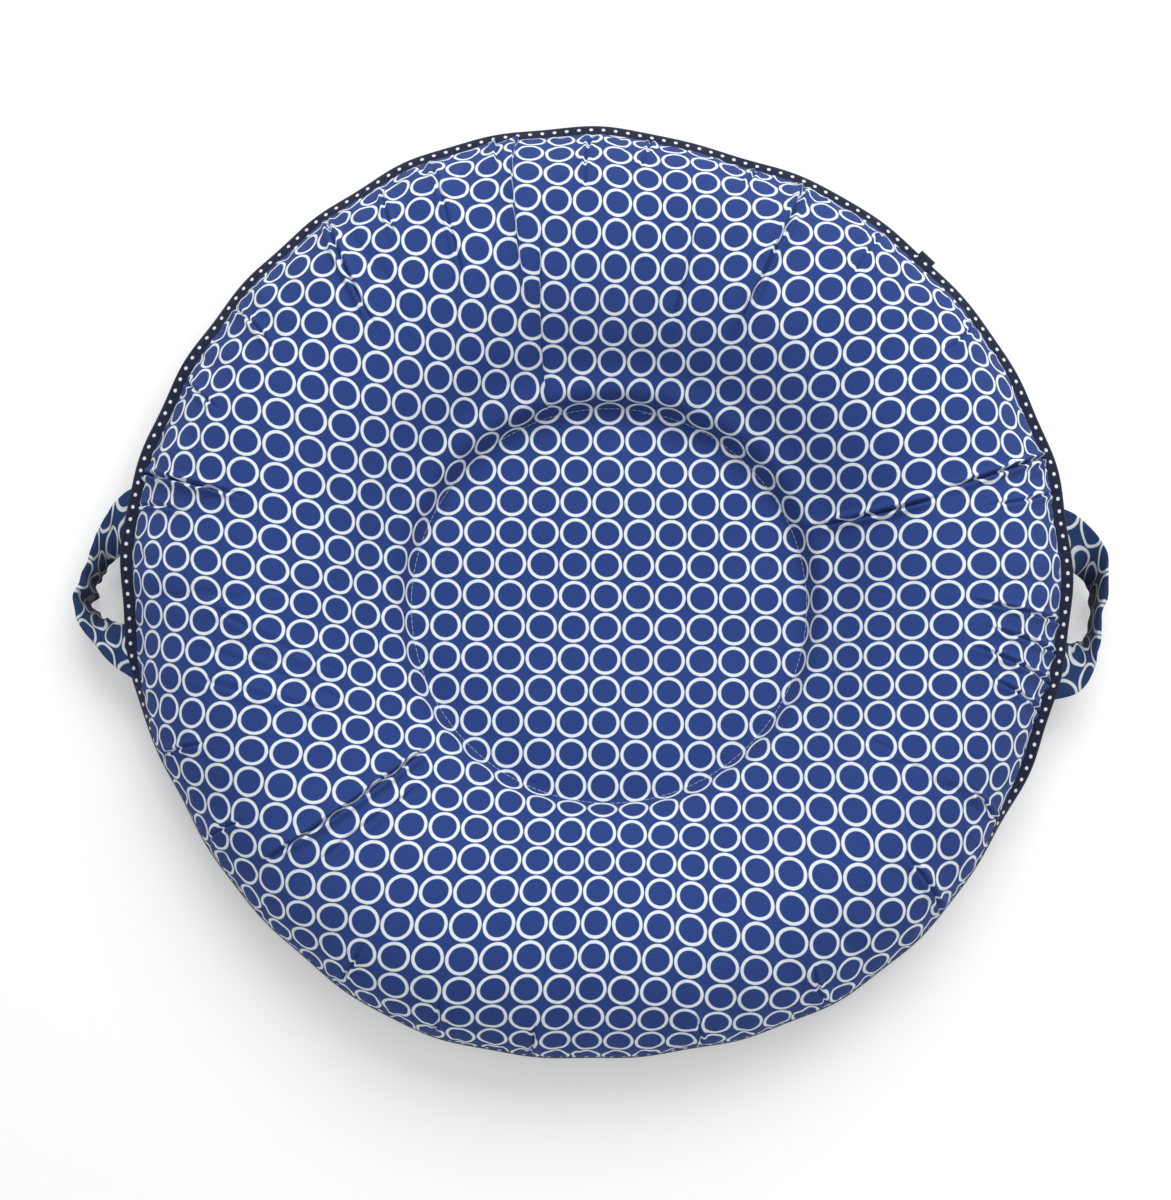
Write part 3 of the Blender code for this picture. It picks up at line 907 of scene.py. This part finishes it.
pale_thread = thread_look("pale thread", (0.80, 0.84, 0.92, 1.0), (0.45, 0.50, 0.62, 1.0))
pale_rows = stitch_tree(pale_thread)
begins = int(np.argmin(np.abs(swing(here[0], 77.0))))
circle_line = np.roll(circle_edge, -begins, axis=0)
circle_line = np.concatenate([circle_line, circle_line[:12]]) + np.array([0.0, 0.0, 0.0009])
to_go = len(circle_line) - np.arange(len(circle_line))[:, None]
beside = 0.007 * smooth((22 - to_go) / 8.0)
circle_line = circle_line + (middle - circle_line) * beside
top_stitches = stitch_row(
    "quilting_stitches", circle_line, pale_rows, Stitch=0.0040, Gap=0.0005, Thread=0.00045
)
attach(top_stitches, "cushion")
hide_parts("circle_stitch_top")

quilted_ring = int(np.argmin(np.abs(base_profile[:, 0] - circle_radius)))
under_line = np.concatenate([under[quilted_ring], under[quilted_ring][:1]]) - np.array([0.0, 0.0, 0.0002])
under_stitches = stitch_row(
    "quilting_stitches_under", under_line, pale_rows, Stitch=0.0034, Gap=0.0007, Thread=0.00055
)
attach(under_stitches, "cushion")
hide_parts("circle_stitch_under")

navy_thread = thread_look("navy thread", (0.030, 0.040, 0.100, 1.0), (0.012, 0.016, 0.045, 1.0))
navy_rows = stitch_tree(navy_thread)
seam_line = trim_station(np.arange(0.0, 360.1, 0.5), 0.34, -0.0009)
seam_stitches = stitch_row("seam_stitches", seam_line, navy_rows, Stitch=0.0026, Gap=0.0008, Thread=0.0006)
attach(seam_stitches, "cushion")
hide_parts("edge_seam_thread")

# ---------------------------------------------------------------- carrying handles
# Each handle is one flat folded strap of the same printed cotton over a thin
# pad. Its ends are caught slantwise in the edge seam under the trim, so the
# loop stands on edge in the middle and its shorter inner edge crumples.


def strap_edges(side):
    """Outer and inner edge of one strap, from its rear end to its front end."""
    shift = -0.004
    if side > 0:
        outer = (
            (0.352, 0.079, 0.0405), (0.3690, 0.0745, 0.0405), (0.3800, 0.0685, 0.0410),
            (0.3940, 0.0550, 0.0410),
            (0.4018, 0.0405, 0.0405), (0.4025, 0.0150, 0.0395), (0.3975, -0.0080, 0.0390),
            (0.3952, -0.0340, 0.0395),
            (0.3905, -0.0540, 0.0405), (0.3780, -0.0700, 0.0405), (0.3530, -0.0770, 0.0405),
        )
        inner = (
            (0.350, 0.0300, 0.0395), (0.3660, 0.0275, 0.0390), (0.3780, 0.0255, 0.0300),
            (0.3925, 0.0180, 0.0150),
            (0.3990, 0.0075, 0.0045), (0.3992, -0.0030, 0.0042), (0.3980, -0.0180, 0.0050),
            (0.3900, -0.0275, 0.0150),
            (0.3780, -0.0300, 0.0300), (0.3660, -0.0310, 0.0390), (0.3500, -0.0330, 0.0395),
        )
    else:
        outer = (
            (0.353, 0.0830, 0.0405), (0.3715, 0.0755, 0.0405), (0.3840, 0.0600, 0.0410),
            (0.3930, 0.0420, 0.0410),
            (0.3992, 0.0195, 0.0400), (0.4070, -0.0010, 0.0395), (0.4088, -0.0085, 0.0390),
            (0.4066, -0.0240, 0.0390),
            (0.4010, -0.0330, 0.0395), (0.3925, -0.0435, 0.0405), (0.3780, -0.0600, 0.0405),
            (0.3530, -0.0760, 0.0405),
        )
        inner = (
            (0.350, 0.0300, 0.0395), (0.3660, 0.0275, 0.0390), (0.3780, 0.0245, 0.0300),
            (0.3935, 0.0130, 0.0150),
            (0.4010, 0.0010, 0.0050), (0.4040, -0.0085, 0.0042), (0.4030, -0.0150, 0.0050),
            (0.3945, -0.0218, 0.0150),
            (0.3780, -0.0270, 0.0300), (0.3660, -0.0290, 0.0390), (0.3500, -0.0310, 0.0395),
        )
    mirror = np.array([side, 1.0, 1.0])
    return [np.array(edge) * mirror + np.array([0.0, shift, 0.0]) for edge in (outer, inner)]


def rounded_line(points, count):
    """A smooth line through points, in even steps of length."""
    dense = []
    padded = np.concatenate([[2 * points[0] - points[1]], points, [2 * points[-1] - points[-2]]])
    for k in range(1, len(padded) - 2):
        a, b, c, d = padded[k - 1 : k + 3]
        bow = 2 * a - 5 * b + 4 * c - d
        twist = 3 * b - a - 3 * c + d
        for u in np.linspace(0.0, 1.0, 24, endpoint=False):
            dense.append(0.5 * (2 * b + (c - a) * u + bow * u**2 + twist * u**3))
    dense.append(points[-1])
    return by_length(np.array(dense), np.linspace(0.0, 1.0, count))


def strap(name, side, seed):
    """A padded flat strap between two edge lines, closed all round."""
    stations = 181
    outer, inner = [rounded_line(edge, stations) for edge in strap_edges(side)]
    run = np.concatenate([[0.0], np.cumsum(np.linalg.norm(np.diff(outer, axis=0), axis=1))])
    chance = np.random.default_rng(seed)
    around = 36
    turn = np.linspace(0.0, 2 * math.pi, around, endpoint=False)
    across = 0.5 - 0.5 * np.sign(np.cos(turn)) * np.abs(np.cos(turn)) ** 0.85
    half = 0.0026 * np.sign(np.sin(turn)) * np.abs(np.sin(turn)) ** 0.45
    middle_line = (outer + inner) / 2
    along = np.gradient(middle_line, axis=0)
    along /= np.linalg.norm(along, axis=1, keepdims=True)
    over = inner - outer
    over /= np.linalg.norm(over, axis=1, keepdims=True)
    face = np.cross(along, over)
    face /= np.linalg.norm(face, axis=1, keepdims=True)

    def creases(count, shortest):
        """Uneven waves along the strap, from -1 to 1."""
        total = np.zeros(stations)
        for _ in range(count):
            wave = chance.uniform(shortest, 0.034)
            total += chance.uniform(0.4, 1.0) * np.sin(2 * math.pi * run / wave + chance.uniform(0, 6.28))
        return total / np.abs(total).max()

    crumple = creases(9, 0.016)
    rock = creases(6, 0.014)
    free = smooth(run / 0.02) * smooth((run[-1] - run) / 0.02)
    grid = np.zeros((stations, around, 3))
    for j in range(around):
        w = across[j]
        base_line = outer * (1 - w) + inner * w
        bend = (0.0019 * crumple * w**1.3 + 0.0012 * rock) * free
        swell = half[j] * (1.0 + 0.25 * rock * free)
        grid[:, j] = base_line + face * (bend + swell)[:, None]
    faces, corner_map = [], []
    girth = np.where(turn <= math.pi, across, 2.0 - across) * 0.038
    girth = np.append(girth, 0.076)
    inward = np.append(across, 0.0) ** 1.2
    print_along = (run[:, None] + 0.0065 * crumple[:, None] * inward) / ring_pitch[0] + 0.3
    print_over = (girth[None, :] + 0.0045 * rock[:, None] * inward) / ring_pitch[1]
    for i in range(stations - 1):
        for j in range(around):
            k = (j + 1) % around
            faces.append([i * around + j, i * around + k, (i + 1) * around + k, (i + 1) * around + j])
            for m, n in ((i, j), (i, j + 1), (i + 1, j + 1), (i + 1, j)):
                corner_map.append((print_along[m, n], print_over[m, n]))
    for last, order in ((0, range(around)), (stations - 1, reversed(range(around)))):
        listed = list(order)
        faces.append([last * around + j for j in listed])
        corner_map += [(print_along[last, j], print_over[last, j]) for j in listed]
    piece = sewn_piece(name, grid.reshape(-1, 3), faces, "print", corner_map)
    mesh = piece.data
    volume = sum(mesh.vertices[p.vertices[0]].co.dot(p.normal) * p.area for p in mesh.polygons)
    if volume < 0:
        mesh.flip_normals()
    return piece


# The strap cloth is a copy of the printed cotton in painted shade: darker all over, and painted near black
# low down where the strap stands in shade.
strap_cotton = printed_cotton("printed strap cotton", 0.74, 0.80)
for handle_name, side, seed in (("right", 1.0, 5), ("left", -1.0, 9)):
    loop = strap(handle_name + "_strap", side, seed)
    loop.data.materials.append(strap_cotton)
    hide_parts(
        handle_name + "_handle_sleeve",
        handle_name + "_handle_core",
        handle_name + "_handle_rear_end",
        handle_name + "_handle_front_end",
    )
    side * 0.368
    side * 0.384
    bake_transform(loop)

# ---------------------------------------------------------------- floor and light
# A pale floor and soft light from big diffusers, strongest from beyond the
# cushion, so the far wall of the dish is in shade.

floor_mesh = bpy.data.meshes.new("floor")
floor_mesh.from_pydata([(-6, -6, 0), (6, -6, 0), (6, 6, 0), (-6, 6, 0)], [], [(0, 1, 2, 3)])
floor = bpy.data.objects.new("floor", floor_mesh)
floor.location.z = -0.0004
bpy.context.collection.objects.link(floor)
paint = Finish("pale floor", 0.9, 0.0)
paint.shader.inputs["Base Color"].default_value = (0.93, 0.93, 0.93, 1.0)
paint.shader.inputs["Emission Color"].default_value = (1.0, 1.0, 1.0, 1.0)
paint.shader.inputs["Emission Strength"].default_value = 0.20
below = paint.node("ShaderNodeNewGeometry", {}, {}, 6)
clear = paint.node("ShaderNodeBsdfTransparent", {}, {})
faced = paint.node("ShaderNodeMixShader", {}, {0: below, 1: Wire(paint, paint.shader.outputs[0]), 2: clear})
paint.tree.links.new(faced.socket, paint.tree.nodes["Material Output"].inputs["Surface"])
floor_mesh.materials.append(paint.material)


def diffuser(name, place, target, size, power):
    lamp = bpy.data.lights.new(name, "AREA")
    lamp.shape = "RECTANGLE"
    lamp.size, lamp.size_y = size
    lamp.energy = power
    made = bpy.data.objects.new(name, lamp)
    made.location = place
    made.rotation_euler = (Vector(target) - Vector(place)).to_track_quat("-Z", "Y").to_euler()
    bpy.context.collection.objects.link(made)
    return made


diffuser("far diffuser", (0.5, 2.0, 2.1), (0.0, 0.0, 0.05), (2.8, 1.8), 65.0)
diffuser("side diffuser", (-1.9, 0.2, 1.9), (0.0, 0.0, 0.05), (1.4, 1.4), 3.0)
diffuser("overhead diffuser", (0.6, -0.5, 2.6), (0.0, 0.0, 0.0), (2.4, 2.4), 16.0)
scene = bpy.context.scene
scene.view_settings.view_transform = "Standard"
room = scene.world or bpy.data.worlds.new("room")
scene.world = room
room.use_nodes = True
air = room.node_tree.nodes["Background"]
air.inputs[0].default_value = (0.96, 0.99, 1.0, 1.0)
air.inputs[1].default_value = 0.34
wall = add_node(room.node_tree, "ShaderNodeBackground", {}, {0: (1.0, 1.0, 1.0, 1.0), 1: 0.93})
seen = add_node(room.node_tree, "ShaderNodeLightPath", {}, {})
chosen = {0: seen.outputs["Is Camera Ray"], 1: air.outputs[0], 2: wall.outputs[0]}
both = add_node(room.node_tree, "ShaderNodeMixShader", {}, chosen)
room.node_tree.links.new(both.outputs[0], room.node_tree.nodes["World Output"].inputs["Surface"])
